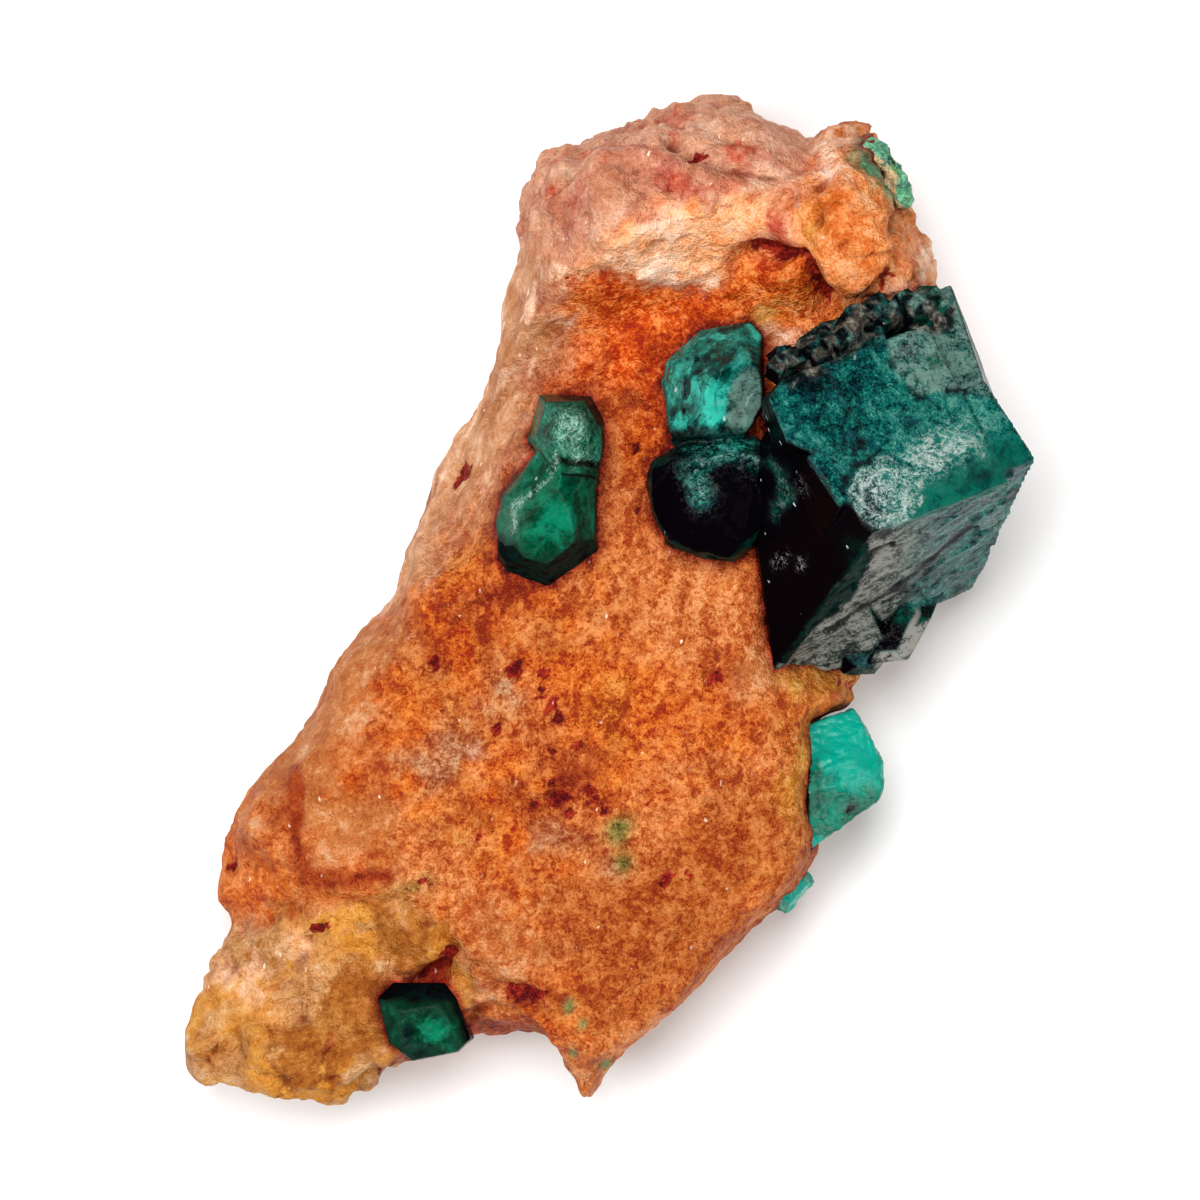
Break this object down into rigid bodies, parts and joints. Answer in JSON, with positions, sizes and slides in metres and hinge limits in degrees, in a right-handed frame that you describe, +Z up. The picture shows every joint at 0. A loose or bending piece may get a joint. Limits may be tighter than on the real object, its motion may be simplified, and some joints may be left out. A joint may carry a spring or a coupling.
{
  "type": "dioptase crystals on matrix",
  "caption": "Loose mineral specimen: dark green faceted crystals grown on an elongated piece of orange, iron-stained granular rock.",
  "frame": {"origin": "middle of the base of the whole specimen's bounding box, on the surface it lies on", "axes": "+Z up, out of the side that carries the crystals; +Y along the long way of the rock towards its knobbed upper end; +X towards the large crystal"},
  "size_m": [0.034, 0.0406, 0.0174],
  "materials": {
    "rock": "granular, matt, iron-stained orange to cream",
    "dioptase": "deep green translucent crystal, glassy with etched and frosted faces",
    "dioptase_light": "thin, light turquoise green translucent crystal",
    "green_crust": "thin dull green crust"
  },
  "bodies": {
    "root": {"matrix": "rock", "large_crystal": "dioptase", "centre_crystals": "dioptase", "left_crystal": "dioptase", "foot_crystal": "dioptase", "edge_crystal": "dioptase_light", "edge_sliver": "dioptase_light", "green_crust": "green_crust"}
  },
  "joints": []
}
